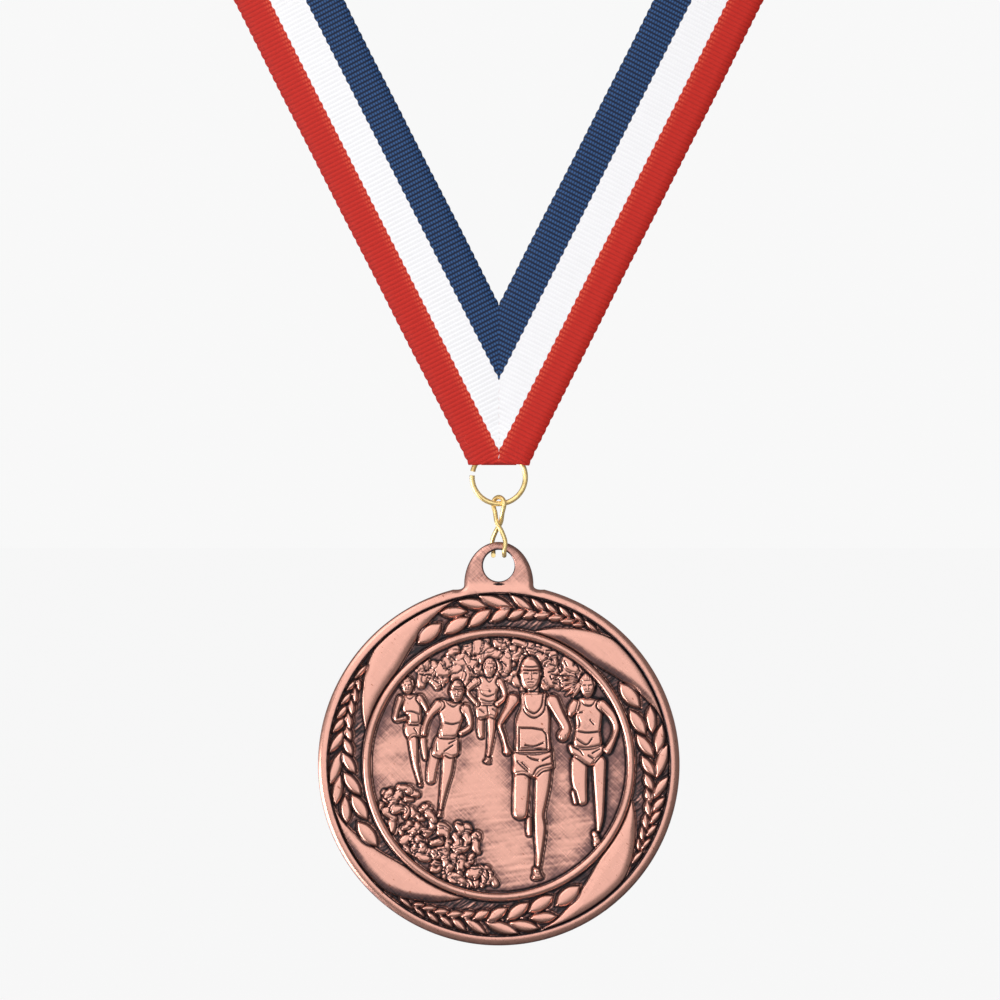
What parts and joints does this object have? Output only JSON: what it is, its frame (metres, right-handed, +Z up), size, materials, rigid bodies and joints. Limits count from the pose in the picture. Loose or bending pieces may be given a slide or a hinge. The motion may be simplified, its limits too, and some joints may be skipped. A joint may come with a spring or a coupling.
{
  "type": "sports finisher medal",
  "caption": "Round relief medal with a lug, hanging from a striped neck ribbon by a jump ring and a sprung wire clip.",
  "frame": {"origin": "inner face of the ribbon at the nape of the neck, in the middle of its width", "axes": "+Z up as the medal hangs, the medal's relief face towards -Y, +X to the viewer's right"},
  "size_m": [0.205, 0.103, 0.3554],
  "materials": {
    "ribbon_tape": "ribbed woven tape in red, white and navy stripes",
    "sewing_thread": "polyester sewing thread",
    "gilt_wire": "bright gilt wire",
    "antique_copper": "antique copper plate, polished on the high relief and dark in the recesses"
  },
  "bodies": {
    "ribbon": {"neck_ribbon": "ribbon_tape", "seam_stitching": "sewing_thread", "tail_stitching": "sewing_thread"},
    "ring": {"jump_ring": "gilt_wire"},
    "clip": {"wire_clip": "gilt_wire"},
    "medal": {"medal_casting": "antique_copper"}
  },
  "joints": [
    {"name": "ring_swing", "type": "hinge", "parent": "ribbon", "child": "ring", "pos_m": [0, -0.09609, -0.26702], "axis": [1, 0, 0], "range_deg": [-30, 45]},
    {"name": "clip_swing", "type": "hinge", "parent": "ring", "child": "clip", "pos_m": [0, -0.09609, -0.27484], "axis": [1, 0, 0], "range_deg": [-80, 80]},
    {"name": "medal_swing", "type": "hinge", "parent": "clip", "child": "medal", "pos_m": [0, -0.09609, -0.28512], "axis": [0, 1, 0], "range_deg": [-60, 60]}
  ]
}
